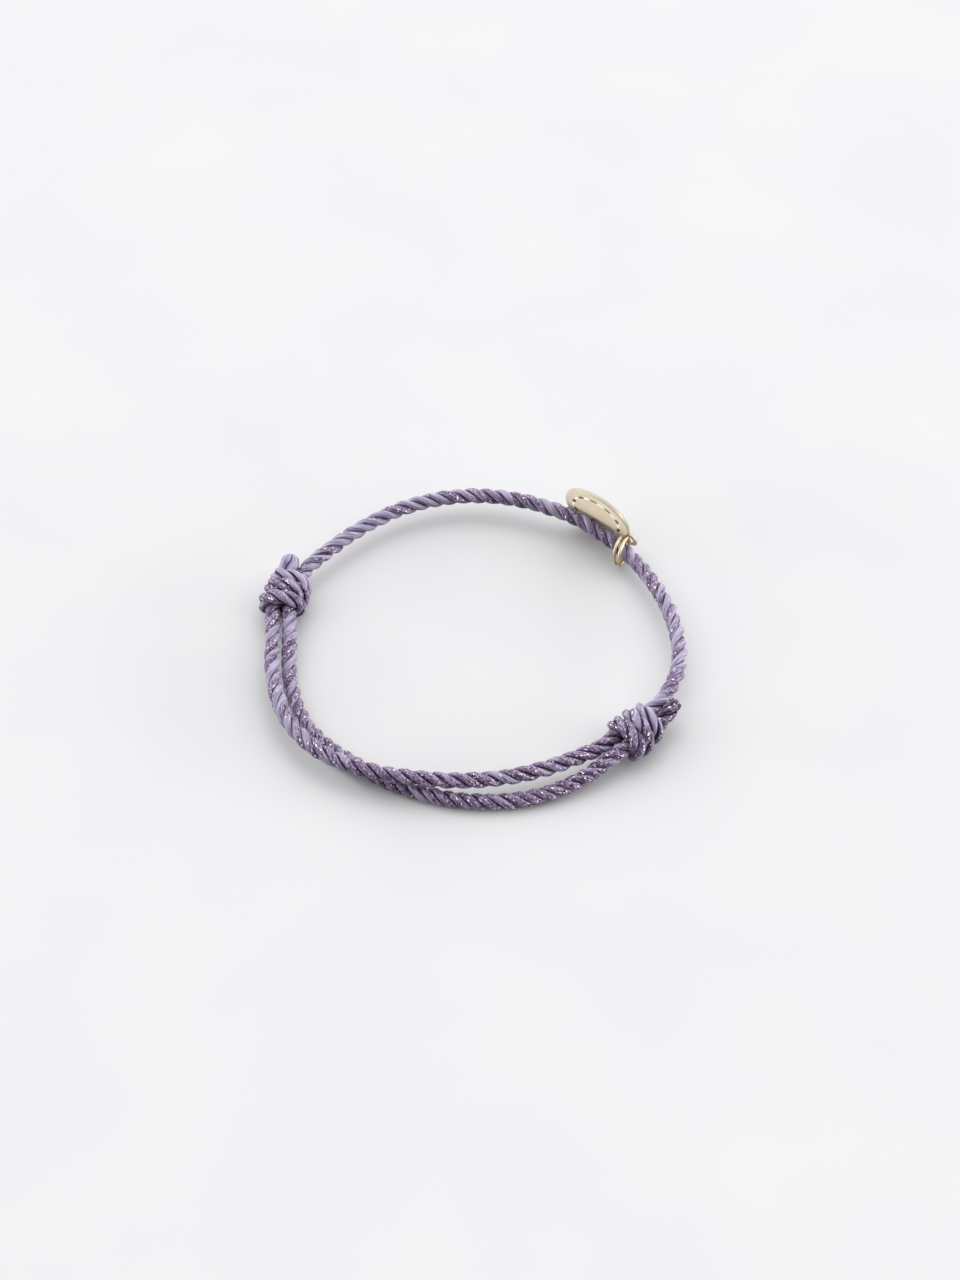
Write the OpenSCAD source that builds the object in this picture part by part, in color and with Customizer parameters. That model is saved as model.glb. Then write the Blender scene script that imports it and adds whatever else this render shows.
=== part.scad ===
// Adjustable bracelet: one twisted cord, two sliding barrel knots, and a round metal tag
// on two small rings. It lies on a table as it would by itself. The origin is on the table
// under the middle of the loop, +Z is up, and the tag stands behind the cord at the right.
// All sizes are in millimetres.

/* [Cord] */
// Thickness of the twisted cord
cord_d = 2.4; // [2:0.1:2.5]
// Distance between two strands that enter a knot side by side
strand_pitch = 2.5; // [2.5:0.1:3]

/* [Knots] */
// Width of the left knot across the cord
left_knot_w = 7.6; // [7:0.2:9]
// Width of the right knot across the cord
right_knot_w = 7.2; // [7:0.2:9]
// Height of a knot, which lies on the table
knot_h = 6.2; // [6:0.2:7.4]
// Length of the left knot along the cord
left_knot_l = 6.4; // [6:0.2:8]
// Length of the right knot along the cord
right_knot_l = 6.6; // [6:0.2:8]
// Turns of cord round each knot
knot_wraps = 3; // [2:1:4]
// Depth of the grooves between the turns, as a share of the knot's size
wrap_relief = 0.12; // [0:0.02:0.2]
// Width of a knot's flat ends, as a share of its middle
knot_end_w = 0.76; // [0.72:0.02:0.9]
// Height of a knot's flat ends, as a share of its middle
knot_end_h = 0.6; // [0.5:0.02:0.9]

/* [Tag] */
// Diameter of the tag
tag_d = 11.8; // [10:0.2:14]
// Thickness of the tag
tag_t = 0.7; // [0.6:0.1:1]
// Width of the sloping edge on each face
tag_bevel = 0.15; // [0.05:0.05:0.25]
// Lean of the tag towards the cord, in degrees
tag_lean = 15; // [10:1:15]
// Outer diameter of the ear on the tag's edge
ear_d = 3.4; // [3:0.1:3.8]
// Diameter of the hole in the ear
ear_hole_d = 1.9; // [1.7:0.05:2]
// Thickness of the ear
ear_t = 0.5; // [0.4:0.1:0.6]

/* [Rings] */
// Outer diameter of each ring
ring_d = 4.9; // [4.8:0.1:5.4]
// Thickness of the rings' wire
ring_wire = 0.5; // [0.4:0.05:0.5]
// Distance between the middles of the two rings
ring_pitch = 0.7; // [0.65:0.05:0.8]
// Lean of the rings, in degrees
ring_lean = 7; // [5:1:9]
// Height of the rings above the table: they hang in the ear
ring_lift = 0.4; // [0.2:0.1:0.5]

/* [Hidden] */
cord_sides = 8;
knot_sides = 24;
knot_sections = 24;
knot_taper = 0.14;

// Directions on the table are headings in degrees, counter-clockwise from +X
left_heading = 80;
right_heading = 42;
tag_heading = -35.5;
ring_heading = -25;

knot_z = knot_h / 2;
left_knot_at = [-28.6, 8.9, knot_z];
right_knot_at = [24.6, -17.6, knot_z];

// Middles of the knots' flat ends: the strands meet the front ends, the back ones hold
// the back strand and the tails
left_front = left_knot_at - along(left_heading, left_knot_l / 2);
left_back = left_knot_at + along(left_heading, left_knot_l / 2);
right_front = right_knot_at - along(right_heading, right_knot_l / 2);
right_back = right_knot_at + along(right_heading, right_knot_l / 2);
left_aside = along(left_heading - 90, strand_pitch / 2);
right_aside = along(right_heading - 90, strand_pitch / 2);

// Routes of the cord's middle, as x, y, z. The first and last points lie on the knots.
back_route = [
    left_back + left_aside,
    [-25.8, 13.8, 3.2],
    [-24.5, 15.5, 3.3],
    [-22.5, 17.6, 3.4],
    [-19.2, 20.9, 3.4],
    [-15.3, 24.0, 3.5],
    [-10.9, 26.6, 3.6],
    [-6.2, 28.3, 3.7],
    [-1.2, 29.1, 3.8],
    [3.8, 28.9, 3.9],
    [8.7, 27.8, 3.9],
    [13.3, 26.0, 3.9],
    [17.5, 23.6, 3.8],
    [20.5, 21.5, 3.2],
    [23.4, 19.0, 2.8],
    [25.8, 15.9, 2.7],
    [27.8, 12.3, 2.9],
    [29.7, 7.8, 3.0],
    [31.0, 2.9, 3.2],
    [31.5, -2.1, 3.3],
    [30.9, -7.1, 3.3],
    [29.5, -10.5, 3.3],
    [28.2, -12.7, 3.3],
    right_back - right_aside
];
over_route = [
    left_front - left_aside,
    [-30.2, 2.0, 3.2],
    [-30.1, -2.0, 3.3],
    [-29.8, -6.5, 3.3],
    [-29.0, -11.0, 3.4],
    [-27.3, -15.5, 3.5],
    [-24.6, -19.5, 3.6],
    [-21.0, -22.7, 3.7],
    [-16.6, -24.9, 3.7],
    [-12.0, -26.3, 3.7],
    [-7.2, -27.0, 3.7],
    [-2.3, -27.2, 3.5],
    [2.5, -26.9, 3.4],
    [7.3, -26.0, 3.3],
    [11.9, -24.5, 3.3],
    [16.3, -22.5, 3.3],
    [19.0, -21.0, 3.3],
    right_front - right_aside
];
under_route = [
    left_front + left_aside,
    [-27.7, 2.2, 3.0],
    [-27.6, -1.6, 2.6],
    [-27.3, -6.6, 2.0],
    [-26.2, -11.5, 1.5],
    [-23.9, -16.2, 1.2],
    [-20.2, -20.1, 1.2],
    [-16.0, -23.2, 1.2],
    [-11.6, -25.9, 1.2],
    [-6.9, -27.8, 1.2],
    [-1.9, -29.0, 1.2],
    [3.3, -29.3, 1.2],
    [8.4, -28.7, 1.2],
    [13.3, -27.1, 1.5],
    [17.7, -24.8, 2.2],
    [20.3, -22.9, 3.0],
    right_front + right_aside
];

// The cord's cut ends: x, y, z, and the share of the cord's thickness there
left_tail_shape = [
    [left_back - left_aside, 1],
    [[-28.8, 13.3, 3.5], 1.15],
    [[-28.3, 14.3, 4.0], 1.2],
    [[-28.1, 15.1, 4.5], 1],
    [[-28.0, 15.6, 4.7], 0.5]
];
right_tail_shape = [
    [right_back + right_aside, 1],
    [[28.9, -15.5, 3.3], 1],
    [[30.0, -14.5, 3.4], 1],
    [[30.6, -13.6, 3.5], 0.8]
];

// The tag stands on its edge
tag_r = tag_d / 2;
tag_at = [19.9, 23.3, tag_r * cos(tag_lean) + (tag_t / 2 - tag_bevel) * sin(tag_lean)];
ear_angle = -26.5;
ear_reach = tag_r + 0.3;
ear_at = tag_at + ear_reach * (cos(ear_angle) * along(tag_heading, 1)
    + sin(ear_angle) * (sin(tag_lean) * along(tag_heading - 90, 1) + [0, 0, cos(tag_lean)]));

// Each ring goes round the cord and passes through the hole in the ear
ring_r = (ring_d - ring_wire) / 2;
ring_middle = [ear_at.x - 1.2, ear_at.y - 2.5, ring_r * cos(ring_lean) + ring_wire / 2 + ring_lift];

function along(heading, distance) = distance * [cos(heading), sin(heading), 0];
function unit(v) = v / norm(v);

// Direction of a route at point i: level and square to the knot at its ends
function way(route, i, first, last) =
    i == 0 ? along(first, 1)
    : i == len(route) - 1 ? along(last, 1)
    : unit(route[i + 1] - route[i - 1]);

// A ring of points round the cord, square to its direction
function cord_ring(middle, dir, r) =
    let (side = unit(cross(dir, [0, 0, 1])), up = cross(side, dir))
    [for (k = [0 : cord_sides - 1])
        let (a = 360 * k / cord_sides) middle + r * (cos(a) * side + sin(a) * up)];

// A closed skin over a list of rings that all have the same number of points
module skin(rings) {
    n = len(rings[0]);
    last = (len(rings) - 1) * n;
    walls = [for (i = [0 : len(rings) - 2], k = [0 : n - 1])
        [i * n + k, i * n + (k + 1) % n, (i + 1) * n + (k + 1) % n, (i + 1) * n + k]];
    polyhedron(
        points = [for (ring = rings) each ring],
        faces = concat([[for (k = [n - 1 : -1 : 0]) k]], walls, [[for (k = [0 : n - 1]) last + k]])
    );
}

module strand(route, first, last) {
    skin([for (i = [0 : len(route) - 1])
        cord_ring(route[i], way(route, i, first, last), cord_d / 2)]);
}

module tail(shape, heading) {
    route = [for (row = shape) row[0]];
    end = route[len(route) - 1] - route[len(route) - 2];
    skin([for (i = [0 : len(shape) - 1])
        let (dir = i == len(shape) - 1 ? unit(end) : way(route, i, heading, heading))
        cord_ring(route[i], dir, cord_d / 2 * shape[i][1])]);
}

// Barrel knot: an oval section that is fullest in the middle and a little narrower towards
// the back, with one groove that winds round it between the turns of cord
function knot_full(t, end) = end + (1 - end) * sqrt(1 - pow(2 * t - 1, 4));
function knot_groove(t, a) = 1 - wrap_relief * (1 - abs(sin(180 * (knot_wraps * t + a / 360))));

module knot(middle, heading, long, wide) {
    dir = along(heading, 1);
    side = along(heading - 90, wide / 2);
    up = [0, 0, knot_h / 2];
    skin([for (i = [0 : knot_sections])
        let (t = i / knot_sections)
        let (across = knot_full(t, knot_end_w) * (1 + knot_taper * (0.5 - t)))
        [for (k = [0 : knot_sides - 1])
            let (a = 360 * k / knot_sides)
            middle + (t - 0.5) * long * dir
                + knot_groove(t, a) * (across * cos(a) * side + knot_full(t, knot_end_h) * sin(a) * up)]]);
}

module back_strand() {
    color("mediumpurple")
        strand(back_route, left_heading, right_heading + 180);
}

module front_strand_over() {
    color("thistle")
        strand(over_route, left_heading + 180, right_heading);
}

module front_strand_under() {
    color("plum")
        strand(under_route, left_heading + 180, right_heading);
}

module left_knot() {
    color("rosybrown")
        knot(left_knot_at, left_heading, left_knot_l, left_knot_w);
}

module right_knot() {
    color("rosybrown")
        knot(right_knot_at, right_heading, right_knot_l, right_knot_w);
}

module left_tail() {
    color("lavender")
        tail(left_tail_shape, left_heading);
}

module right_tail() {
    color("dimgray")
        tail(right_tail_shape, right_heading);
}

module ring(offset) {
    translate(ring_middle + along(ring_heading, offset))
        rotate([0, 90 - ring_lean, ring_heading])
            rotate_extrude($fn = 72)
                translate([ring_r, 0])
                    circle(d = ring_wire, $fn = 24);
}

module ring_near() {
    color("gold")
        ring(-ring_pitch / 2);
}

module ring_far() {
    color("gold")
        ring(ring_pitch / 2);
}

module tag_disc() {
    face = tag_r - tag_bevel;
    edge = tag_t / 2 - tag_bevel;
    rotate_extrude($fn = 120)
        polygon([[0, -tag_t / 2], [face, -tag_t / 2], [tag_r, -edge],
            [tag_r, edge], [face, tag_t / 2], [0, tag_t / 2]]);
}

module tag_ear() {
    rotate([0, 0, ear_angle])
        translate([ear_reach, 0, 0])
            cylinder(d = ear_d, h = ear_t, center = true, $fn = 48);
}

module tag() {
    color("khaki")
        translate(tag_at)
            rotate([90 + tag_lean, 0, tag_heading])
                difference() {
                    union() {
                        tag_disc();
                        tag_ear();
                    }
                    rotate([0, 0, ear_angle])
                        translate([ear_reach, 0, 0])
                            cylinder(d = ear_hole_d, h = 2 * tag_t, center = true, $fn = 48);
                }
}

back_strand();
front_strand_over();
front_strand_under();
left_knot();
right_knot();
left_tail();
right_tail();
ring_near();
ring_far();
tag();
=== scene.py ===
# Cord bracelet with two sliding knots and a round tag, lying on a pale table.
# Routes and sizes of the solids are written in millimetres and turned into metres by mm.
import math
import bpy
import numpy as np
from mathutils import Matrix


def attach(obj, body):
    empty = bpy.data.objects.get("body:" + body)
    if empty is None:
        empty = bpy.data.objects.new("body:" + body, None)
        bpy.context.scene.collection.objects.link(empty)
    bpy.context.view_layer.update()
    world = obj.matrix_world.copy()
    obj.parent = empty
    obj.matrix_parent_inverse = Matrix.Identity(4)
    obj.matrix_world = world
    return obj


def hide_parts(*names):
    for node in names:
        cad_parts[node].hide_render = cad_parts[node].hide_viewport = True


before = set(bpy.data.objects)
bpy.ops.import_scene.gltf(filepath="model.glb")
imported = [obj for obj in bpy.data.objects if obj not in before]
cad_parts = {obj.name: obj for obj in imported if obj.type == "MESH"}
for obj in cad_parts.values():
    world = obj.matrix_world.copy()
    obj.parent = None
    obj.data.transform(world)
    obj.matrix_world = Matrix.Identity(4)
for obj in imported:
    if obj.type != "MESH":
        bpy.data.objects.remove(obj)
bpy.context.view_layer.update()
mm = 0.001
print("frame loaded")

# the camera comes first, then the cords; elevation is in degrees, and lens and sensorHigh are in the
# camera's own millimetres
view = {"elevation": 50, "distance": 350 * mm, "lens": 64, "sensorHigh": 36,
        "near": 0.01, "far": 20, "aim": (1.35 * mm, 2.2 * mm, 0)}


def makeCamera():
    # the eye stands back from the aim along one line of sight, at the photograph's elevation
    tilt = math.radians(view["elevation"])
    data = bpy.data.cameras.new("camera")
    data.sensor_fit = "VERTICAL"
    data.sensor_height = view["sensorHigh"]
    data.lens = view["lens"]
    data.clip_start, data.clip_end = view["near"], view["far"]
    camera = bpy.data.objects.new("camera", data)
    x, y, z = view["aim"]
    camera.location = (x, y - view["distance"] * math.cos(tilt), z + view["distance"] * math.sin(tilt))
    camera.rotation_euler = (math.pi / 2 - tilt, 0, 0)
    bpy.context.collection.objects.link(camera)
    bpy.context.scene.camera = camera


makeCamera()
print("camera made")


# helpers for paths and skins
def along(heading, distance):
    # a level step in the direction of a heading, counter-clockwise from +X
    return distance * np.array([math.cos(math.radians(heading)), math.sin(math.radians(heading)), 0])


def unit(v):
    # the same directions, each 1 long
    return v / np.linalg.norm(v, axis=-1, keepdims=True)


def signedPower(v, power):
    # the size of v to a power, with v's own sign: below 1 it makes a cosine's curve fuller
    return np.sign(v) * np.abs(v) ** power


def eased(values, reach):
    # running mean under a raised-cosine window that reaches `reach` samples to each side
    window = np.hanning(2 * reach + 1)
    return np.convolve(np.pad(values, reach, mode="edge"), window / window.sum(), "valid")


def distances(points):
    # how far along a row of points each one lies
    return np.concatenate([[0], np.cumsum(np.linalg.norm(np.diff(points, axis=0), axis=1))])


def wobble(s, length, size, seed):
    # smooth seeded noise along a path: a sum of five sines of random phase, the shortest of them
    # `length` long, which swings about `size` to each side
    usualSum = 2.2  # how far five such sines swing together
    rng = np.random.default_rng(seed)
    waves = 2 * math.pi / (length * np.array([1, 1.37, 1.93, 2.9, 4.3]))
    phase = rng.uniform(0, 2 * math.pi, 5)
    return size * np.sin(s[..., None] * waves + phase).sum(-1) / usualSum


def smoothRoute(points, step):
    # cubic curve through the points, spaced by chord length, its slope at each point the mean of
    # the two chords beside it weighted to the shorter one; read again at equal steps of its length
    samples = 4000  # along the curve, to measure its length
    p = np.asarray(points, float)
    chord = np.linalg.norm(np.diff(p, axis=0), axis=1)
    t = np.concatenate([[0], np.cumsum(chord)])
    slope = np.diff(p, axis=0) / chord[:, None]
    share = (chord[1:] / (chord[1:] + chord[:-1]))[:, None]
    tangent = np.concatenate([slope[:1], slope[:-1] * share + slope[1:] * (1 - share), slope[-1:]])

    def at(u):
        i = np.clip(np.searchsorted(t, u, "right") - 1, 0, len(chord) - 1)
        h = chord[i][:, None]
        w = (u - t[i])[:, None] / h
        return ((1 + 2 * w) * (1 - w) ** 2 * p[i] + w * (1 - w) ** 2 * h * tangent[i]
                + w * w * (3 - 2 * w) * p[i + 1] + w * w * (w - 1) * h * tangent[i + 1])

    places = np.linspace(0, t[-1], samples)
    gone = distances(at(places))
    s = np.linspace(0, gone[-1], max(8, round(gone[-1] / step)) + 1)
    return at(np.interp(s, gone, places)), s


def tubePart(rings, across, lengthwise, groove, glitter=0.0):
    # a closed skin over rings of points (rings x sides x 3): quads between neighbours and a fan on
    # each end; across and lengthwise are the yarn's own coordinates, in millimetres
    n, m = rings.shape[:2]
    i, j = np.meshgrid(np.arange(n - 1), np.arange(m), indexing="ij")
    k = (j + 1) % m
    quads = np.stack([i * m + j, i * m + k, (i + 1) * m + k, (i + 1) * m + j], -1).reshape(-1, 4)
    u = np.concatenate([across, 2 * across[:, -1:] - across[:, -2:-1]], 1)
    uvs = np.stack([np.stack([u[i, j], lengthwise[i]], -1), np.stack([u[i, j + 1], lengthwise[i]], -1),
                    np.stack([u[i + 1, j + 1], lengthwise[i + 1]], -1),
                    np.stack([u[i + 1, j], lengthwise[i + 1]], -1)], -2).reshape(-1, 2)
    side = np.arange(m)
    near = np.stack([np.full(m, n * m), (side + 1) % m, side], -1)
    far = np.stack([np.full(m, n * m + 1), (n - 1) * m + side, (n - 1) * m + (side + 1) % m], -1)
    endUvs = np.concatenate([np.tile([across[0].mean(), lengthwise[0]], (3 * m, 1)),
                             np.tile([across[-1].mean(), lengthwise[-1]], (3 * m, 1))])
    verts = np.concatenate([rings.reshape(-1, 3), rings[:1].mean(1), rings[-1:].mean(1)])
    shade = np.concatenate([groove.ravel(), [groove[0].mean(), groove[-1].mean()]])
    own = np.ravel(glitter)
    shine = np.append(np.broadcast_to(glitter, (n, m)).ravel(), [own[0], own[-1]])
    return {"verts": verts, "quads": quads, "uvs": uvs, "ends": np.concatenate([near, far]),
            "endUvs": endUvs, "groove": shade, "glitter": shine}


def loopPart(rings):
    # a closed skin over rings of points where the last ring joins the first
    n, m = rings.shape[:2]
    i, j = np.meshgrid(np.arange(n), np.arange(m), indexing="ij")
    h, k = (i + 1) % n, (j + 1) % m
    quads = np.stack([i * m + j, i * m + k, h * m + k, h * m + j], -1).reshape(-1, 4)
    return {"verts": rings.reshape(-1, 3), "quads": quads, "uvs": np.zeros((quads.size, 2)),
            "ends": np.zeros((0, 3), int), "endUvs": np.zeros((0, 2)),
            "groove": np.zeros(n * m), "glitter": np.zeros(n * m)}


def makePiece(name, parts, material, node):
    # joins the parts into one mesh that rides on the bracelet and stands for its CAD node
    base = np.cumsum([0] + [len(part["verts"]) for part in parts])
    quads = np.concatenate([part["quads"] + b for part, b in zip(parts, base)])
    ends = np.concatenate([part["ends"] + b for part, b in zip(parts, base)])
    mesh = bpy.data.meshes.new(name)
    mesh.from_pydata(np.concatenate([part["verts"] for part in parts]), [], quads.tolist() + ends.tolist())
    mesh.polygons.foreach_set("use_smooth", np.ones(len(mesh.polygons), bool))
    uvs = np.concatenate([part["uvs"] for part in parts] + [part["endUvs"] for part in parts])
    mesh.uv_layers.new(name="yarn").uv.foreach_set("vector", uvs.astype(np.float32).ravel())
    for key in ("groove", "glitter"):
        values = np.concatenate([part[key] for part in parts]).astype(np.float32)
        mesh.attributes.new(key, "FLOAT", "POINT").data.foreach_set("value", values)
    mesh.materials.append(material)
    mesh.update()
    piece = bpy.data.objects.new(name, mesh)
    bpy.context.collection.objects.link(piece)
    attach(piece, "root")
    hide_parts(node)
    return piece


# helpers for node materials
def colourOf(code):
    # sRGB hex to linear colour: c / 12.92 in the darkest tones, ((c + 0.055) / 1.055) ** 2.4 above
    c = np.array([int(code[i:i + 2], 16) for i in (1, 3, 5)]) / 255
    return (*(float(v) for v in np.where(c <= 0.04045, c / 12.92, ((c + 0.055) / 1.055) ** 2.4)), 1.0)


def newMaterial(name, sockets):
    # a material with the values of its shader's own sockets set
    material = bpy.data.materials.new(name)
    material.use_nodes = True
    shader = material.node_tree.nodes["Principled BSDF"]
    for socket, value in sockets.items():
        shader.inputs[socket].default_value = value
    return material, material.node_tree, shader


def addNode(tree, kind, inputs=(), **settings):
    # makes a node; an input is a number, a colour or the socket that feeds it
    made = tree.nodes.new(kind)
    for key, value in settings.items():
        setattr(made, key, value)
    for key, value in dict(inputs).items():
        if isinstance(value, bpy.types.NodeSocket):
            tree.links.new(value, made.inputs[key])
        else:
            made.inputs[key].default_value = value
    return made


def addMath(tree, operation, *values, **settings):
    # a Math node on numbers or sockets
    made = addNode(tree, "ShaderNodeMath", enumerate(values), operation=operation, **settings)
    return made.outputs[0]


def addNoise(tree, place, scale, detail, **settings):
    # a Noise texture's grey level
    inputs = {"Vector": place, "Scale": scale, "Detail": detail}
    return addNode(tree, "ShaderNodeTexNoise", inputs, **settings).outputs[0]


def readAttribute(tree, key):
    # one of the mesh's own numbers at each point
    return addNode(tree, "ShaderNodeAttribute", attribute_name=key).outputs["Fac"]


def addRamp(tree, factor, stops, smooth=False):
    # a colour ramp; each stop is its place and a hex colour or a grey level
    ramp = addNode(tree, "ShaderNodeValToRGB", {"Fac": factor})
    ramp.color_ramp.interpolation = "EASE" if smooth else "LINEAR"
    row = ramp.color_ramp.elements
    while len(row) < len(stops):
        row.new(0.5)
    for element, (place, colour) in zip(row, stops):
        element.position = place
        element.color = colourOf(colour) if isinstance(colour, str) else (colour, colour, colour, 1)
    return ramp.outputs["Color"]


def addMix(tree, blend, factor, first, second):
    # mixes two colours; each of the three is a value or a socket
    mix = addNode(tree, "ShaderNodeMix", data_type="RGBA", blend_type=blend)
    for socket, value in ((mix.inputs[0], factor), (mix.inputs[6], first), (mix.inputs[7], second)):
        if isinstance(value, bpy.types.NodeSocket):
            tree.links.new(value, socket)
        else:
            socket.default_value = value
    return mix.outputs[2]


# the yarn: flakes is their number to a millimetre across it and flakesAlong the share of that along it,
# tilt how far they lean, lit the share of them that get no painted glint, paintedGlint the near-white
# colour painted on the others as glints and metal how metallic the shiniest are; groove is the colour
# of the painted shade between plies; fibres and patches are cells to a millimetre across and along, and
# their pattern's turn in radians
yarnLook = {"satin": ("#585067", "#756e84", "#948ea3"), "groove": "#281040",
            "mauve": ("#23152d", "#433151", "#62516b", "#8f7f97"), "paintedGlint": "#efe6f1",
            "flakes": 9.0, "flakesAlong": 0.6, "flakeTurn": 0.5, "tilt": 0.8, "lit": 0.962, "metal": 0.5,
            "sheen": 0.2, "sheenTint": (0.88, 0.76, 0.96, 1), "satinGloss": 0.44,
            "fibres": (3.2, 0.35, 0.14), "patches": (0.55, 0.16, 0.3), "fibreDepth": 0.00005}
singedLook = {**yarnLook, "satin": ("#3b3344", "#524b5c", "#6f6879"), "groove": "#170c20",
              "mauve": ("#160f1e", "#271c33", "#3f324c", "#6d5f79"), "paintedGlint": "#f4eef5",
              "flakes": 7.0, "tilt": 0.6, "lit": 0.95, "metal": 0.1, "sheen": 0.1}


def makeYarn(name, look):
    # satin ply with long fine fibres, which turns into mauve flakes with metal threads where the
    # patches and the ply's own share of glitter say so; painted shade darkens the grooves between plies
    # and painted glints brighten a few flakes
    material, tree, shader = newMaterial(name, {"Sheen Weight": look["sheen"], "Sheen Roughness": 0.45,
                                                "Sheen Tint": look["sheenTint"],
                                                "Specular IOR Level": 0.32})
    yarn = addNode(tree, "ShaderNodeUVMap", uv_map="yarn").outputs["UV"]

    def laid(across, lengthwise, turn):
        scale = (across, lengthwise, 1)
        return addNode(tree, "ShaderNodeMapping",
                       {"Vector": yarn, "Rotation": (0, 0, turn), "Scale": scale}).outputs[0]

    fibres = addNode(tree, "ShaderNodeTexNoise",
                     {"Vector": laid(*look["fibres"]), "Scale": 1.0, "Detail": 4.0, "Roughness": 0.65},
                     noise_dimensions="2D").outputs[0]
    patches = addNoise(tree, laid(*look["patches"]), 1.0, 2.0, noise_dimensions="2D")
    both = addMath(tree, "ADD", patches, readAttribute(tree, "glitter"))
    glitter = addRamp(tree, both, [(0.42, 0.0), (0.59, 1.0)], True)
    flakes = laid(look["flakes"], look["flakes"] * look["flakesAlong"], look["flakeTurn"])
    cells = addNode(tree, "ShaderNodeTexVoronoi", {"Vector": flakes, "Scale": 1.0},
                    voronoi_dimensions="2D").outputs["Color"]
    each = addNode(tree, "ShaderNodeSeparateColor", {"Color": cells})

    satin = addRamp(tree, fibres, list(zip((0.3, 0.5, 0.72), look["satin"])))
    mauve = addRamp(tree, each.outputs[0], list(zip((0.04, 0.3, 0.62, 0.9), look["mauve"])))
    mauve = addMix(tree, "MULTIPLY", 0.8, mauve, addRamp(tree, fibres, [(0.32, 0.78), (0.6, 1.0)]))
    colour = addMix(tree, "MIX", glitter, satin, mauve)
    # painted shade: the colour goes towards the groove colour as far as the groove attribute says, deepest
    # between plies; on the tuft's threads that amount is random
    grooveShade = addRamp(tree, readAttribute(tree, "groove"), [(0.28, 0.0), (0.94, 1.0)], True)
    colour = addMix(tree, "MIX", grooveShade, colour, colourOf(look["groove"]))
    # painted glints: a few flakes on the glitter parts are painted near white in place of sparkle
    lit = addRamp(tree, each.outputs[1], [(look["lit"], 0.0), (0.995, 1.0)])
    paintedGlint = addRamp(tree, addMath(tree, "MULTIPLY", lit, glitter), [(0.05, 0.0), (0.9, 1.0)])
    colour = addMix(tree, "MIX", paintedGlint, colour, colourOf(look["paintedGlint"]))
    tree.links.new(colour, shader.inputs["Base Color"])

    metal = addRamp(tree, each.outputs[2], [(0.65, 0.0), (0.8, look["metal"])])
    tree.links.new(addMath(tree, "MULTIPLY", metal, glitter), shader.inputs["Metallic"])
    gloss = addRamp(tree, each.outputs[0], [(0.2, 0.42), (0.9, 0.24)])
    gloss = addMix(tree, "MIX", glitter, (look["satinGloss"],) * 3 + (1,), gloss)
    tree.links.new(gloss, shader.inputs["Roughness"])

    # fibres raise the satin, and each flake leans its own way
    bump = addNode(tree, "ShaderNodeBump",
                   {"Height": fibres, "Strength": 0.4, "Distance": look["fibreDepth"]}).outputs[0]
    centred = addNode(tree, "ShaderNodeVectorMath", {0: cells, 1: (0.5, 0.5, 0.5)}, operation="SUBTRACT")
    size = addMath(tree, "MULTIPLY", glitter, look["tilt"])
    pushed = addNode(tree, "ShaderNodeVectorMath", {0: centred.outputs[0], "Scale": size}, operation="SCALE")
    tilted = addNode(tree, "ShaderNodeVectorMath", {0: bump, 1: pushed.outputs[0]}, operation="ADD")
    normal = addNode(tree, "ShaderNodeVectorMath", {0: tilted.outputs[0]}, operation="NORMALIZE")
    tree.links.new(normal.outputs[0], shader.inputs["Normal"])
    return material


cordYarn = makeYarn("cordYarn", yarnLook)
singedYarn = makeYarn("singedYarn", singedLook)
print("yarn materials made")

# the twisted cord: diameter is its outline's and real the plain cord's; ply and reach are shares of its
# radius, the size of a ply and how far its middle lies from the cord's; stray is in radians, the threads'
# ridges turn by one radian in strandTurn, and the lengths of the wobbles end in Long
cord = {"diameter": 2.46 * mm, "real": 2.4 * mm, "ply": 0.455, "reach": 0.545, "sides": 36,
        "step": 0.17 * mm, "pathStep": 1.5 * mm, "oval": 1.03, "stray": 0.09, "strayLong": 6 * mm,
        "roughLong": 3 * mm, "strandsInPly": 9, "ridge": 0.035, "strandTurn": 0.35 * mm,
        "strandLong": 2 * mm, "tableGap": 0.01 * mm}


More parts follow.
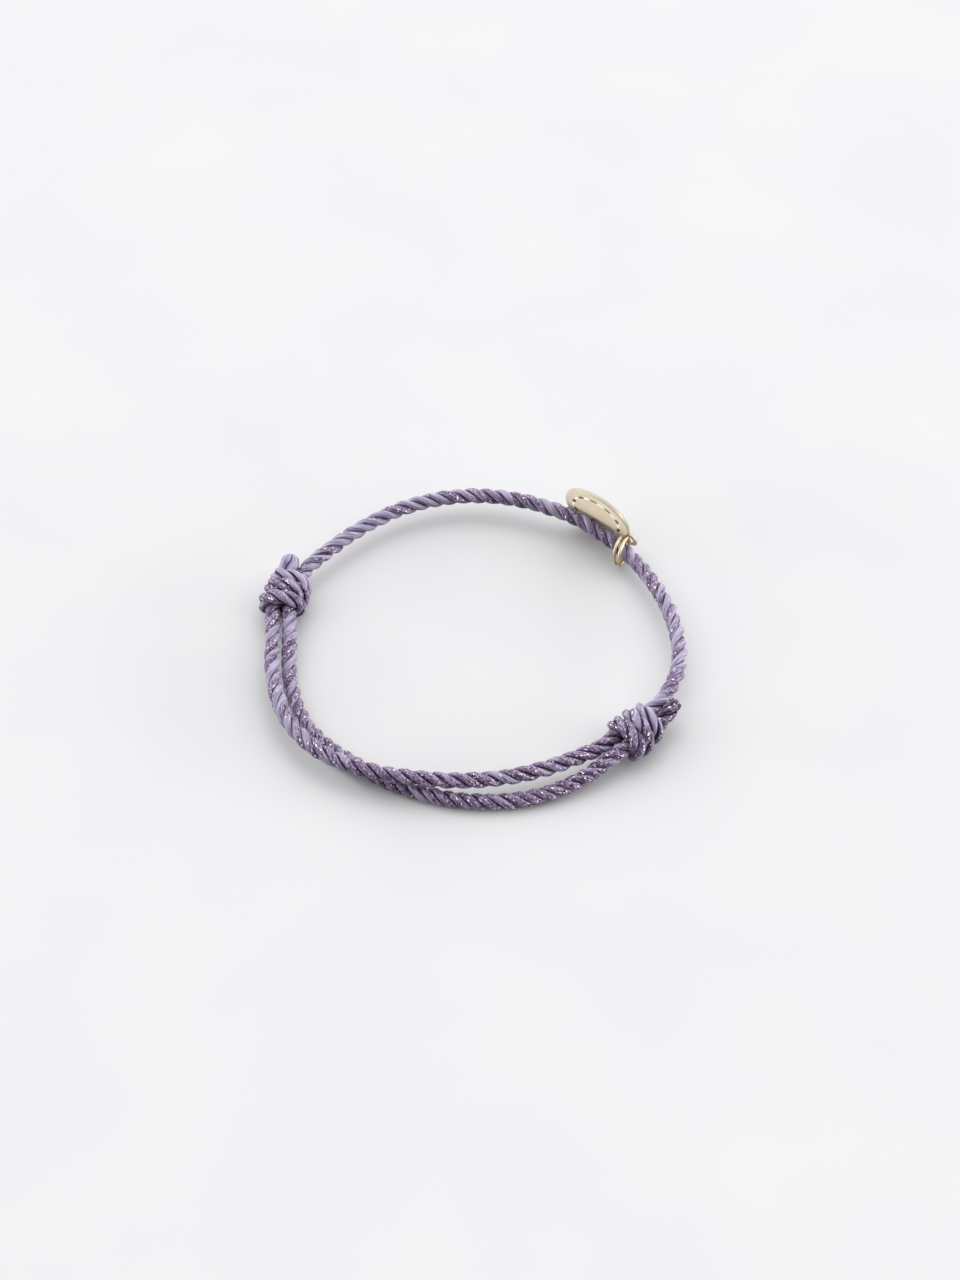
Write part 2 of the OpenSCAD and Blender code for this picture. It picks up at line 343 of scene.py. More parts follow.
def twistedPlies(centre, s, normal, tangent, turn, lay, seed, glitter,
                 flat=1.0, full=1.0, soft=0.0, rough=0.05, grooveShade=1.0):
    # three plies round the cord's middle: each ply's middle is a right-handed helix, the angle
    # turn + 360 * s / lay, and its section is a circle square to that helix, with a low cosine ridge
    # for each thread in it; normal, normal x tangent and tangent are the cord's own axes, flat presses
    # it along its normal, full makes it thicker, soft pushes the plies into one another, rough is how
    # unevenly thick they are and grooveShade how dark the painted shade in their grooves gets
    radius = cord["diameter"] / 2
    across = np.cross(tangent, normal)
    flat, full = np.broadcast_to(flat, s.shape)[:, None], np.broadcast_to(full, s.shape)[:, None]
    phi = np.linspace(-math.pi, math.pi, cord["sides"], endpoint=False)[None, :]
    parts = []
    for k, own in enumerate(glitter):
        angle = (math.radians(turn) + 2 * math.pi * s / lay + 2 * math.pi * k / 3
                 + wobble(s, cord["strayLong"], cord["stray"], seed * 10 + k))[:, None]
        reach = radius * (cord["reach"] - soft) * full
        uneven = (1 + wobble(s, cord["roughLong"], rough, seed * 10 + 5 + k))[:, None]
        size = radius * (cord["ply"] + soft) * full * uneven
        threads = np.cos(cord["strandsInPly"] * phi + (s / cord["strandTurn"])[:, None]
                         + 2 * wobble(s, cord["strandLong"], 1, seed + k)[:, None])
        size = size * (1 + cord["ridge"] * (threads - 1))
        lean = reach * 2 * math.pi / lay
        slant = np.sqrt(1 + lean ** 2)
        out, aside = size * np.cos(phi), size * cord["oval"] * np.sin(phi)
        n = (reach + out) * np.cos(angle) - aside / slant * np.sin(angle)
        b = (reach + out) * np.sin(angle) + aside / slant * np.cos(angle)
        t = -aside * lean / slant
        rings = (centre[:, None] + (n * flat)[..., None] * normal[:, None]
                 + b[..., None] * across[:, None] + t[..., None] * tangent[:, None])
        rings[..., 2] = np.maximum(rings[..., 2], cord["tableGap"])  # pressed flat where it lies down
        # painted shade: the nearer a point lies to the cord's middle, the more of the groove colour it gets
        groove = np.clip(1 - np.hypot(n, b) / (radius * full), 0, 1) * 2 * grooveShade
        girth = np.broadcast_to(phi * radius * cord["ply"] / mm, n.shape)
        length = s / mm + 40 * k + 200 * seed  # each ply reads its own stretch of the yarn's pattern
        parts.append(tubePart(rings, girth, length, groove, own))
    return parts


def levelAxes(centre):
    # the normal that points as nearly up as it can, and the tangent
    tangent = unit(np.gradient(centre, axis=0))
    aside = unit(np.cross(tangent, [0, 0, 1.0]))
    return np.cross(aside, tangent), tangent


# the knots' barrels in millimetres and their headings in degrees; pitch is between two strands at a face
knots = {
    "left": {"at": (-28.6, 8.9, 3.1), "heading": 80, "length": 6.4, "width": 7.6, "height": 6.2},
    "right": {"at": (24.6, -17.6, 3.1), "heading": 42, "length": 6.6, "width": 7.2, "height": 6.2},
}
pitch = 2.5


def knotFace(side, end, aside):
    # a point on a knot's flat end (end -1 front, 1 back), half a strand pitch to one side
    knot = knots[side]
    return (np.array(knot["at"]) + along(knot["heading"], end * knot["length"] / 2)
            + along(knot["heading"] - 90, aside * pitch / 2))


def inKnot(side, end, aside, inside=2.0):
    # the same strand a little way inside the knot, where it draws in towards the knot's middle
    return knotFace(side, end, aside * 0.8) - along(knots[side]["heading"], end * inside)


# glitter is each ply's own share; more adds to it, partly as the yarn's own pattern and partly as painted
# shade, which darkens the front strands where it rises and lightens the back one where it falls; grooveShade
# sets how dark the painted shade in the grooves gets; both are places along the strand from 0 to 1 and the
# amounts there; from and to are the knot, its end and its side
strands = {
    "backCord": {
        "node": "back_strand", "turn": 40, "lay": 6.95, "seed": 3, "glitter": (-0.08, 0.02, 0.06),
        "more": ((0, 0.18, 0.25, 0.47, 0.53, 0.66, 0.74, 1), (-0.04, -0.04, -0.01, -0.01, 0.03, 0.03, 0, 0)),
        "grooveShade": ((0, 0.4, 0.55, 1), (0.8, 0.8, 0.5, 0.5)),
        "from": ("left", 1, 1), "to": ("right", 1, -1),
        "route": [[-25.8, 13.8, 3.2], [-24.5, 15.5, 3.3], [-22.5, 17.6, 3.4], [-19.2, 20.9, 3.4],
                  [-15.3, 24.0, 3.5], [-10.9, 26.6, 3.6], [-6.2, 28.3, 3.7], [-1.2, 29.1, 3.8],
                  [3.8, 28.9, 3.9], [8.7, 27.8, 3.9], [13.3, 26.0, 3.9], [17.5, 23.6, 3.8],
                  [20.5, 21.5, 3.2], [23.4, 19.0, 2.8], [25.8, 15.9, 2.7], [27.8, 12.3, 2.9],
                  [29.7, 7.8, 3.0], [31.0, 2.9, 3.2], [31.5, -2.1, 3.3], [30.9, -7.1, 3.3],
                  [29.5, -10.5, 3.3], [28.2, -12.7, 3.3]]},
    "overCord": {
        "node": "front_strand_over", "turn": 0, "lay": 7.4, "seed": 4, "glitter": (-0.05, 0.05, 0.07),
        "more": ((0, 0.3, 0.5, 1), (0.02, 0.02, 0.14, 0.14)),
        "grooveShade": ((0, 0.3, 0.5, 1), (0.6, 0.6, 1, 1)),
        "from": ("left", -1, -1), "to": ("right", -1, -1),
        "route": [[-30.2, 2.0, 3.2], [-30.1, -2.0, 3.3], [-29.8, -6.5, 3.3], [-29.0, -11.0, 3.4],
                  [-27.3, -15.5, 3.5], [-24.6, -19.5, 3.6], [-21.0, -22.7, 3.7], [-16.6, -24.9, 3.7],
                  [-12.0, -26.3, 3.7], [-7.2, -27.0, 3.7], [-2.3, -27.2, 3.5], [2.5, -26.9, 3.4],
                  [7.3, -26.0, 3.3], [11.9, -24.5, 3.3], [16.3, -22.5, 3.3], [19.0, -21.0, 3.3]]},
    "underCord": {
        "node": "front_strand_under", "turn": 0, "lay": 6.25, "seed": 5, "glitter": (-0.06, 0.04, 0.07),
        "more": ((0, 0.3, 0.5, 1), (-0.01, 0.0, 0.13, 0.13)),
        "grooveShade": ((0, 0.3, 0.5, 1), (0.5, 0.6, 1, 1)),
        "from": ("left", -1, 1), "to": ("right", -1, 1),
        "route": [[-27.7, 2.2, 3.0], [-27.6, -1.6, 2.6], [-27.3, -6.6, 2.0], [-26.2, -11.5, 1.5],
                  [-23.9, -16.2, 1.2], [-20.2, -20.1, 1.2], [-16.0, -23.2, 1.2], [-11.6, -25.9, 1.2],
                  [-6.9, -27.8, 1.2], [-1.9, -29.0, 1.2], [3.3, -29.3, 1.2], [8.4, -28.7, 1.2],
                  [13.3, -27.1, 1.5], [17.7, -24.8, 2.2], [20.3, -22.9, 3.0]]},
}


def makeStrand(name):
    # three twisted plies along the strand's route, which runs a little way into both knots
    strand = strands[name]
    start, stop = strand["from"], strand["to"]
    shown = [knotFace(*start), *strand["route"], knotFace(*stop)]
    middle, s = smoothRoute(np.array([inKnot(*start), *shown, inKnot(*stop)]) * mm, cord["step"])
    normal, tangent = levelAxes(middle)
    # more glitter on the front strands is partly painted shade that darkens them
    more = np.interp(s / s[-1], *strand["more"])[:, None]
    parts = twistedPlies(middle, s, normal, tangent, strand["turn"], strand["lay"] * mm, strand["seed"],
                         [own + more for own in strand["glitter"]],
                         grooveShade=np.interp(s / s[-1], *strand["grooveShade"])[:, None])
    piece = makePiece(name, parts, cordYarn, strand["node"])
    path, gone = smoothRoute(np.array(shown) * mm, cord["pathStep"])
    print(name, "made,", round(float(gone[-1]) / mm, 1), "mm between the knots")


for name in strands:
    makeStrand(name)

# the cord wound round both knots; each row of a winding is the angle round the barrel, 0 at its right
# side and 90 on top, the way along it from -1 in front to 1 behind, and the share of its full width;
# plain takes glitter away, as places along the winding from 0 to 1 and the amounts there
wraps = {
    "leftKnot": {
        "node": "left_knot", "knot": "left", "turn": 0, "lay": 7.4, "thick": 0.84, "seed": 6,
        "reach": 2.15, "uneven": 0.04, "rough": 0.09, "glitter": (0.08, 0.16, 0.18),
        "plain": ((0, 0.68, 0.74, 1), (0, 0, 0.4, 0.4)),
        "rows": [(-80, -0.9, 0.5), (-20, -1.08, 0.95), (30, -1.12, 1), (90, -1.1, 1), (180, -1.1, 1.03),
                 (235, -1.1, 1.03), (290, -0.6, 0.95), (360, -0.15, 1), (450, 0.0, 0.98), (540, 0.2, 0.97),
                 (630, 0.5, 0.92), (720, 0.62, 0.95), (810, 1.0, 0.92), (880, 1.4, 0.85), (960, 1.3, 0.4)]},
    "rightKnot": {
        "node": "right_knot", "knot": "right", "turn": 60, "lay": 7.6, "thick": 0.92, "seed": 7,
        "reach": 2.2, "uneven": 0.06, "rough": 0.14, "glitter": (0.18, 0.24, 0.24),
        "plain": ((0, 0.49, 0.52, 0.58, 0.61, 0.78, 0.84, 1), (0, 0, 0.4, 0.4, 0, 0, 0.4, 0.4)),
        "rows": [(-80, -1.0, 0.7), (-20, -1.3, 1.1), (60, -1.15, 1.05), (150, -1.1, 1.08),
                 (200, -1.05, 1.1), (270, -0.75, 1), (340, -0.5, 1.18), (370, -0.4, 1.15), (450, 0.0, 1.02),
                 (540, 0.2, 1.0), (630, 0.42, 0.95), (720, 0.6, 1.0), (810, 0.85, 0.97), (900, 1.0, 0.88),
                 (980, 0.85, 0.4)]},
}
winding = {"turnStep": 0.5, "easeOver": 70, "square": 0.8, "step": 0.12 * mm,
           "wayWobble": 200, "shareWobble": 170, "fullWobble": 5 * mm}


def makeKnot(name):
    # cord wound round a barrel with a full oval section: across = half width * |cos(angle)| ** 0.8, up =
    # half height * |sin(angle)| ** 0.8, both with their sign and times the row's share; way and share
    # run through the rows and are smoothed over 70 degrees
    look = wraps[name]
    knot = knots[look["knot"]]
    rows = np.array(look["rows"], float)
    turn = np.arange(rows[0, 0], rows[-1, 0], winding["turnStep"])
    easeReach = round(winding["easeOver"] / winding["turnStep"] / 2)
    way = eased(np.interp(turn, rows[:, 0], rows[:, 1]), easeReach)
    share = eased(np.interp(turn, rows[:, 0], rows[:, 2]), easeReach)
    way = way + wobble(turn, winding["wayWobble"], look["uneven"], look["seed"])
    share = share + wobble(turn, winding["shareWobble"], look["uneven"] * 0.7, look["seed"] + 20)
    angle = np.radians(turn)
    thick = cord["diameter"] / mm * look["thick"] / 2
    side, ahead, up = along(knot["heading"] - 90, 1), along(knot["heading"], 1), np.array([0, 0, 1.0])
    wide = (knot["width"] / 2 - thick) * share * signedPower(np.cos(angle), winding["square"])
    high = (knot["height"] / 2 - thick) * share * signedPower(np.sin(angle), winding["square"])
    centre = (np.array(knot["at"]) + wide[:, None] * side + (way * look["reach"])[:, None] * ahead
              + high[:, None] * up) * mm
    gone = distances(centre)
    s = np.linspace(0, gone[-1], round(gone[-1] / winding["step"]))
    centre = np.stack([np.interp(s, gone, centre[:, i]) for i in range(3)], -1)
    angle = np.interp(s, gone, angle)
    tangent = unit(np.gradient(centre, axis=0))
    out = np.cos(angle)[:, None] * side + np.sin(angle)[:, None] * up
    normal = unit(out - (out * tangent).sum(-1, keepdims=True) * tangent)
    plain = np.interp(s / s[-1], *look["plain"])[:, None]
    full = 1 + wobble(s, winding["fullWobble"], look["uneven"], look["seed"] + 40)
    parts = twistedPlies(centre, s, normal, tangent, look["turn"], look["lay"] * mm, look["seed"],
                         [own - plain for own in look["glitter"]],
                         flat=look["thick"], full=full, rough=look["rough"])
    makePiece(name, parts, cordYarn, look["node"])
    print(name, "made")


for name in wraps:
    makeKnot(name)

# the two cut ends: sizes are shares of the cord's thickness, inside the knot, at its face and then at
# the points of the route
tails = {
    "leftTail": {
        "node": "left_tail", "slot": "cord", "turn": 47, "lay": 60, "seed": 8, "from": ("left", 1, -1),
        "route": [[-28.8, 13.3, 3.5], [-28.3, 14.3, 4.0], [-28.1, 15.1, 4.5], [-28.0, 15.7, 4.8]],
        "sizes": [1, 1, 1.2, 1.3, 1.28, 1.15], "glitter": (-0.3, -0.3, -0.3), "soft": 0.09, "threads": 0},
    "rightTail": {
        "node": "right_tail", "slot": "cord_end", "turn": 30, "lay": 7, "seed": 9, "from": ("right", 1, 1),
        "route": [[28.8, -15.3, 3.5], [29.6, -14.4, 4.0], [30.1, -13.6, 4.2]],
        "sizes": [1, 1, 1, 1, 0.9], "glitter": (0.1, 0.15, 0.2), "soft": 0.0, "threads": 130},
}
tailStep = 0.08 * mm
roundFrom = 0.75  # share of a tail's length past which its end is rounded

# the tuft's threads, in millimetres: a thread starts inside, that far before the cord's end, and its
# length is base + long, less by up to outerLess away from the cord's middle; within is the share of the
# cord's radius where threads are, and stray is in metres
tuft = {"wide": 0.24, "base": 0.8, "long": 0.95, "outerLess": 0.4, "inside": 1.3, "within": 0.86,
        "gather": 0.9, "spread": 1.05, "bend": 1.6, "stray": 0.05 * mm, "thinTip": 0.8,
        "rings": 7, "sides": 7}


def cutThreads(tail, middle, normal, tangent):
    # the tuft at a cut end: every thread starts within the cord's section a little before its end and
    # follows a parabola outward, start + tangent * long * t + bent * t * t, getting thinner at its tip
    rng = np.random.default_rng(tail["seed"])
    across = np.cross(tangent, normal)
    radius = cord["diameter"] / 2
    shape = (tuft["rings"], tuft["sides"])
    t = np.linspace(0, 1, tuft["rings"])[:, None]
    phi = np.linspace(0, 2 * math.pi, tuft["sides"], endpoint=False)
    circle = np.cos(phi)[None, :, None] * normal + np.sin(phi)[None, :, None] * across
    taper = np.sqrt(np.clip(1 - t ** 4 * tuft["thinTip"], 0.05, 1))
    parts = []
    for k in range(tail["threads"]):
        place = math.sqrt(rng.uniform(0, 1)) * radius * tuft["within"]
        turn = rng.uniform(0, 2 * math.pi)
        outward = math.cos(turn) * normal + math.sin(turn) * across
        bent = outward * rng.uniform(0.1, 1) * (tuft["spread"] - 1) * place + rng.normal(0, tuft["stray"], 3)
        long = tuft["long"] - tuft["outerLess"] * (place / radius) ** 2
        long = (tuft["base"] + long * rng.uniform(0.93, 1.04)) * mm
        start = middle - tangent * tuft["inside"] * mm + place * outward * tuft["gather"]
        line = start + tangent * long * t + bent * t * t * tuft["bend"]
        wide = tuft["wide"] / 2 * mm * rng.uniform(0.7, 1.3) * taper
        rings = line[:, None] + wide[..., None] * circle
        groove = np.full(shape, rng.uniform(0, 0.9))
        parts.append(tubePart(rings, np.broadcast_to(phi * 0.1 + 3 * k, shape), t[:, 0] * 2 + 5 * k,
                              groove, rng.uniform(-0.05, 0.3)))
    return parts


def makeTail(name):
    # three plies along a short route, thick as its sizes say, whose end is rounded: the thickness falls
    # as the root of 1 - x squared, x from 0 at roundFrom to 1 at the end; then the tuft, if it has one
    tail = tails[name]
    points = np.array([inKnot(*tail["from"]), knotFace(*tail["from"]), *tail["route"]]) * mm
    middle, s = smoothRoute(points, tailStep)
    normal, tangent = levelAxes(middle)
    chord = distances(points)
    full = np.interp(s / s[-1] * chord[-1], chord, tail["sizes"])
    past = ((s / s[-1] - roundFrom) / (1 - roundFrom)).clip(0, 1)
    rounded = np.sqrt(np.clip(1 - past ** 2, 0.02, 1))
    parts = twistedPlies(middle, s, normal, tangent, tail["turn"], tail["lay"] * mm, tail["seed"],
                         tail["glitter"], full=full * rounded, soft=tail["soft"])
    parts += cutThreads(tail, middle[-1], normal[-1], tangent[-1])
    yarn = singedYarn if tail["slot"] == "cord_end" else cordYarn
    makePiece(name, parts, yarn, tail["node"])
    print(name, "made")


for name in tails:
    makeTail(name)

# the metal
tagFinish = {"low": "#e0d0b3", "base": "#e5d6bb", "high": "#eaddc6", "recessShade": "#4a3c26", "lipHighlight": "#fffdf4",
             "edge": "#8f8977", "back": "#7d7256", "metallic": 0.1, "gloss": 0.42, "lipGloss": 0.3}
wireFinish = {"low": "#9c8a68", "base": "#b5a380", "high": "#cabb9a", "recessShade": "#4a3a18", "lipHighlight": "#f8efcc",
              "edge": "#b5a380", "back": "#b5a380", "metallic": 0.75, "gloss": 0.36, "lipGloss": 0.2}
grain = {"clouds": 420.0, "fine": 3000.0, "depth": 0.00001}


def plated(name, finish):
    # plated metal: faint cloudy tone, fine grain in its gloss and painted shade down in the struck marks; the
    # glitter attribute is 1 on raised marks, which get a near-white painted highlight that also stands for
    # their rubbed brightness, -1 along edges, which get a darker tone as painted shade, and -2 at the back,
    # which is darker gold
    material, tree, shader = newMaterial(name, {"Metallic": finish["metallic"]})
    place = addNode(tree, "ShaderNodeTexCoord").outputs["Object"]
    clouds = addNoise(tree, place, grain["clouds"], 3.0)
    colour = addRamp(tree, clouds, [(0.3, finish["low"]), (0.5, finish["base"]), (0.7, finish["high"])])
    lightAndWear = readAttribute(tree, "glitter")
    paintedLightAndWear = addRamp(tree, lightAndWear, [(0.0, 0.0), (1.0, 1.0)])
    # painted highlight on the raised marks, standing also for their rubbed brightness
    colour = addMix(tree, "MIX", paintedLightAndWear, colour, colourOf(finish["lipHighlight"]))
    below = addMath(tree, "MULTIPLY", lightAndWear, -1.0, use_clamp=True)
    # painted shade: a darker tone along the edges
    colour = addMix(tree, "MIX", below, colour, colourOf(finish["edge"]))
    under = addMath(tree, "MULTIPLY_ADD", lightAndWear, -1.0, -1.0, use_clamp=True)
    worked = addRamp(tree, clouds, [(0.35, finish["back"]), (0.65, finish["edge"])])
    worked = addMix(tree, "MIX", 0.25, colourOf(finish["back"]), worked)
    colour = addMix(tree, "MIX", under, colour, worked)
    # painted shade down in the struck marks
    grooveShade = addRamp(tree, readAttribute(tree, "groove"), [(0.15, 0.0), (0.8, 0.9)], True)
    colour = addMix(tree, "MIX", grooveShade, colour, colourOf(finish["recessShade"]))
    tree.links.new(colour, shader.inputs["Base Color"])
    fine = addNoise(tree, place, grain["fine"], 2.0)
    gloss = addRamp(tree, fine, [(0.3, finish["gloss"] - 0.06), (0.7, finish["gloss"] + 0.08)])
    gloss = addMix(tree, "MIX", paintedLightAndWear, gloss, (finish["lipGloss"],) * 3 + (1,))
    tree.links.new(gloss, shader.inputs["Roughness"])
    bump = addNode(tree, "ShaderNodeBump", {"Height": fine, "Strength": 0.2, "Distance": grain["depth"]})
    tree.links.new(bump.outputs[0], shader.inputs["Normal"])
    return material


tagGold = plated("tagGold", tagFinish)
wireGold = plated("wireGold", wireFinish)
print("metal materials made")

# the tag in millimetres and degrees: lean is how far it leans forward, ear the angle of its ear on the
# disc, earWide the radius of the ear's hole and of its outside; pole is the smallest ring's radius, and
# paintedLightAndWear says how far outside the face the painted edge shade begins and how soon it is full
tagLook = {"radius": 5.9, "thick": 0.7, "edge": 0.15, "lean": 15, "heading": -35.5, "at": (19.9, 23.3),
           "rim": 0.025, "rimWide": 0.42, "rimSlope": 0.12, "paintedLightAndWear": (0.03, 0.08), "pole": 0.02,
           "ear": -26.5, "earReach": 6.2, "earWide": (0.95, 1.7), "earThick": 0.5, "earSquare": 0.6,
           "marks": 10, "markAt": 4.2, "markWide": 0.54, "markLong": 0.32, "markDeep": 0.1,
           "markHigh": 0.09, "markSlope": 0.1, "frontRings": 96, "backRings": 40, "steps": 360,
           "earSteps": 72, "earSides": 20}


def tagAxes():
    # the tag's middle in millimetres, its level axis, its upward axis and its front; the disc stands on
    # the table on its rounded edge, which with the lean gives the height of its middle
    lean = math.radians(tagLook["lean"])
    edge = tagLook["edge"]
    height = (edge + (tagLook["radius"] - edge) * math.cos(lean)
              + (tagLook["thick"] / 2 - edge) * math.sin(lean))
    level = along(tagLook["heading"], 1)
    rise = math.sin(lean) * along(tagLook["heading"] - 90, 1) + np.array([0, 0, math.cos(lean)])
    return np.array([*tagLook["at"], height]), level, rise, np.cross(level, rise)


def insideDash(share, r):
    # how far inside a dash a point lies: half its width less the way to its straight middle; share is 0
    # at the dash's middle and 1 at the middle of the next dash
    look = tagLook
    past = np.clip(share * math.pi * look["markAt"] / look["marks"] - look["markLong"], 0, None)
    return look["markWide"] / 2 - np.hypot(past, r - look["markAt"])


def discPart():
    # a turned disc: radius and height run over the front, round the edge and over the back, and turn
    # round the middle; inside a low rim runs a ring of even dashes, struck in and raised by turns
    look = tagLook
    radius, half, edge = look["radius"], look["thick"] / 2, look["edge"]
    face = radius - edge
    bend = np.linspace(0, math.pi / 2, 7)[1:]
    over = np.linspace(look["pole"], face, look["frontRings"])
    under = np.linspace(face, look["pole"], look["backRings"])[1:]
    r = np.concatenate([over, face + edge * np.sin(bend), face + edge * np.cos(bend), under])
    h = np.concatenate([np.full(len(over), half), half - edge + edge * np.cos(bend),
                        -half + edge - edge * np.sin(bend), np.full(len(under), -half)])
    angle = np.linspace(0, 2 * math.pi, look["steps"], endpoint=False)
    r, turn = np.broadcast_arrays(r[:, None], angle[None, :])
    inFront = (h > 0)[:, None] & (r < face)
    rim = np.clip((r - face + look["rimWide"]) / look["rimSlope"], 0, 1)
    beat = np.abs(((turn * look["marks"] / (2 * math.pi)) % 1) - 0.5) / 0.5
    struck = np.clip(0.5 + insideDash(beat, r) / look["markSlope"], 0, 1)
    raised = np.sqrt(np.clip(insideDash(1 - beat, r) * 2 / look["markWide"], 0, 1))
    height = h[:, None] - np.where(inFront, struck * look["markDeep"] - raised * look["markHigh"]
                                   + look["rim"] * (1 - rim), 0)
    middle, level, rise, front = tagAxes()
    rings = (middle + (r * np.cos(turn))[..., None] * level + (r * np.sin(turn))[..., None] * rise
             + height[..., None] * front) * mm
    disc = tubePart(rings, np.broadcast_to(angle * radius, r.shape), np.arange(len(r)) * 0.1,
                    struck * inFront)
    disc["quads"], disc["ends"] = disc["quads"][:, ::-1], disc["ends"][:, ::-1]  # so that faces point out
    # the glitter attribute: painted highlight on the raised dashes, painted shade past the face's edge, and
    # the darker back
    start, slope = look["paintedLightAndWear"]
    paintedLightAndWear = np.where(inFront, raised > 0, 0.0) - np.clip((r - face - start) / slope, 0, 1)
    paintedLightAndWear = np.where((h < 0)[:, None], -1 - np.clip((radius - r) / edge, 0, 1), paintedLightAndWear)
    disc["glitter"] = np.concatenate([paintedLightAndWear.ravel(), [0, -2]]).clip(-2, 1)
    return disc


def earPart():
    # the ear is a flat ring whose section is a superellipse, turned round its hole; its front gets a little
    # of the edge's painted shade and its back nearly as dark a tone as the disc's
    look = tagLook
    middle, level, rise, front = tagAxes()
    ear = math.radians(look["ear"])
    hub = middle + look["earReach"] * (math.cos(ear) * level + math.sin(ear) * rise)
    inner, outer = look["earWide"]
    shape = (look["earSteps"], look["earSides"])
    phi = np.linspace(0, 2 * math.pi, look["earSides"], endpoint=False)
    r = ((inner + outer) / 2 + (outer - inner) / 2 * signedPower(np.cos(phi), look["earSquare"]))[None, :]
    h = (look["earThick"] / 2 * signedPower(np.sin(phi), look["earSquare"]))[None, :]
    turn = np.linspace(0, 2 * math.pi, look["earSteps"], endpoint=False)[:, None]
    rings = (hub + (r * np.cos(turn))[..., None] * level + (r * np.sin(turn))[..., None] * rise
             + np.broadcast_to(h, shape)[..., None] * front) * mm
    loop = loopPart(rings)
    loop["glitter"] = np.broadcast_to(np.where(np.sin(phi) < -0.3, -1.7, -0.4), shape).ravel()
    return loop


makePiece("roundTag", [discPart(), earPart()], tagGold, "tag")
print("tag made")

# the jump rings in millimetres and degrees: cut is where each is cut, and apart its offset along the
# axis and how much more that is at its top
ringLook = {"radius": 2.2, "wire": 0.25, "lean": 7, "heading": -25, "middle": (23.633, 18.161, 2.834),
            "gap": 1.2, "steps": 181, "sides": 20, "cut": {"nearRing": -70, "farRing": 200},
            "apart": {"nearRing": (-0.35, 0), "farRing": (0.37, 0.2)}}


def makeRing(name, node):
    # a jump ring: a wire circle that stops a hair short of closing, with two flat cut ends; its own
    # offset along the axis grows with the height of the point, so the far one leans off the near one
    look = ringLook
    lean = math.radians(look["lean"])
    axis = along(look["heading"], math.cos(lean)) + np.array([0, 0, math.sin(lean)])
    level = along(look["heading"] - 90, 1)
    rise = np.cross(axis, level)
    rise = rise if rise[2] > 0 else -rise
    offset, leanOff = look["apart"][name]
    turn = np.radians(look["cut"][name] + np.linspace(look["gap"], 360 - look["gap"], look["steps"]))[:, None]
    out = np.cos(turn) * level + np.sin(turn) * rise
    phi = np.linspace(0, 2 * math.pi, look["sides"], endpoint=False)
    aside = (offset + leanOff * np.sin(turn)) * along(look["heading"], 1)
    middle = (np.array(look["middle"]) + aside)[:, None]
    rings = (middle + (look["radius"] + look["wire"] * np.cos(phi))[None, :, None] * out[:, None]
             + (look["wire"] * np.sin(phi))[None, :, None] * np.cross(level, rise)[None, None, :]) * mm
    shape = rings.shape[:2]
    part = tubePart(rings, np.broadcast_to(phi, shape), np.arange(look["steps"]) * 0.08, np.zeros(shape))
    makePiece(name, [part], wireGold, node)
    print(name, "made")


makeRing("nearRing", "ring_near")
makeRing("farRing", "ring_far")

# the table and the light: a lamp is its place, its width and height, and its power in watts
table = {"half": 3.0, "low": "#a4a4a6", "high": "#a8a8a9", "clouds": 30.0}
light = {"sky": 2.72, "least": 0.03, "from": (0, 0.6, 0.8), "sides": 0.85, "falloff": 6.0}
lamps = {"key": ((0.05, 0.5, 0.85), (0.7, 0.5), 2.45),
         "leftFill": ((-1.5, -0.27, 0.22), (0.92, 0.37), 13.4),
         "rightFill": ((1.5, -0.27, 0.22), (0.92, 0.37), 20.0)}


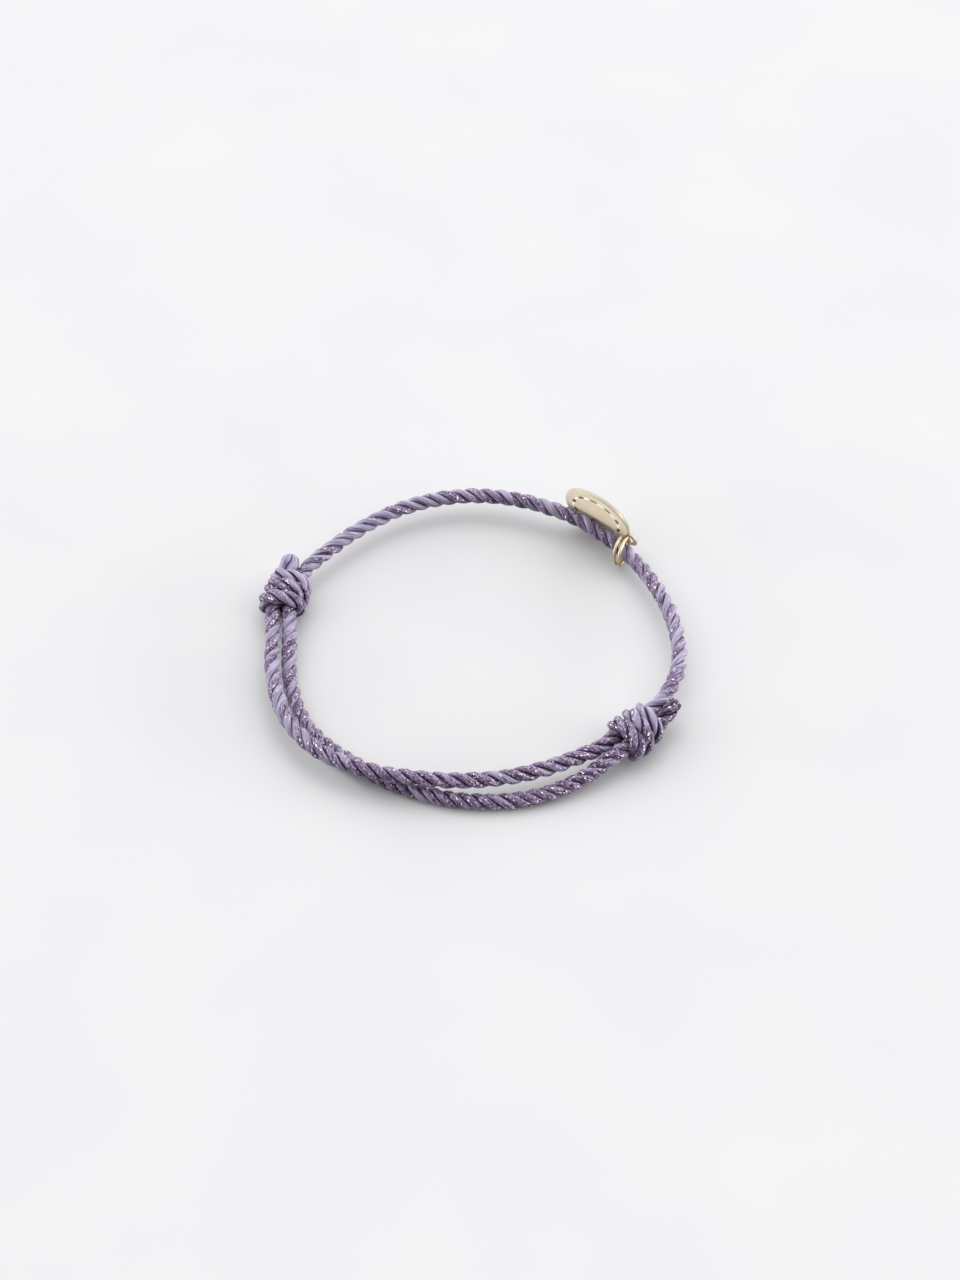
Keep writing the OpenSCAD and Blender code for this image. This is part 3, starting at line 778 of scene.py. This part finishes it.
def makeTable():
    # a wide level sheet, a grid of one face
    mesh = bpy.data.meshes.new("table")
    half = table["half"]
    corners = [(-half, -half, 0), (half, -half, 0), (half, half, 0), (-half, half, 0)]
    mesh.from_pydata(corners, [], [(0, 1, 2, 3)])
    material, tree, shader = newMaterial("tableWhite", {"Roughness": 0.8, "Specular IOR Level": 0.08})
    place = addNode(tree, "ShaderNodeTexCoord").outputs["Object"]
    faint = addNoise(tree, place, table["clouds"], 2.0)
    colour = addRamp(tree, faint, [(0.2, table["low"]), (0.8, table["high"])])
    tree.links.new(colour, shader.inputs["Base Color"])
    mesh.materials.append(material)
    sheet = bpy.data.objects.new("table", mesh)
    bpy.context.collection.objects.link(sheet)


def addLamp(name, place, size, power):
    # an area lamp that looks at the origin: its -Z axis points there
    data = bpy.data.lights.new(name, "AREA")
    data.shape = "RECTANGLE"
    data.size, data.size_y = size
    data.energy = power
    lamp = bpy.data.objects.new(name, data)
    lamp.location = place
    x, y, z = place
    lamp.rotation_euler = (math.atan2(math.hypot(x, y), z), 0, math.atan2(-y, -x) - math.pi / 2)
    bpy.context.collection.objects.link(lamp)


def makeRoom():
    # a soft white room: the glow is the share of a sky direction that points at light["from"], with some
    # more for both sides, from 0 to 1 and raised to light["falloff"], so the viewer's side stays dark
    room = bpy.data.worlds.new("room")
    room.use_nodes = True
    tree = room.node_tree
    sky = addNode(tree, "ShaderNodeTexCoord").outputs["Generated"]
    towards = addNode(tree, "ShaderNodeVectorMath", {0: sky, 1: light["from"]},
                      operation="DOT_PRODUCT").outputs["Value"]
    sideways = addMath(tree, "ABSOLUTE", addNode(tree, "ShaderNodeSeparateXYZ", {0: sky}).outputs[0])
    towards = addMath(tree, "MULTIPLY_ADD", sideways, light["sides"], towards)
    share = addNode(tree, "ShaderNodeMapRange", {"Value": towards, "From Min": -1.0, "From Max": 1.0,
                    "To Min": 0.0, "To Max": 1.0}).outputs[0]
    glow = addMath(tree, "POWER", share, light["falloff"])
    glow = addMath(tree, "MULTIPLY_ADD", glow, light["sky"], light["least"])
    tree.nodes["Background"].inputs["Color"].default_value = (1, 1, 1, 1)
    tree.links.new(glow, tree.nodes["Background"].inputs["Strength"])
    bpy.context.scene.world = room


makeTable()
for name, lamp in lamps.items():
    addLamp(name, *lamp)
makeRoom()
bpy.context.scene.view_settings.view_transform = "Standard"
print("table and light made")
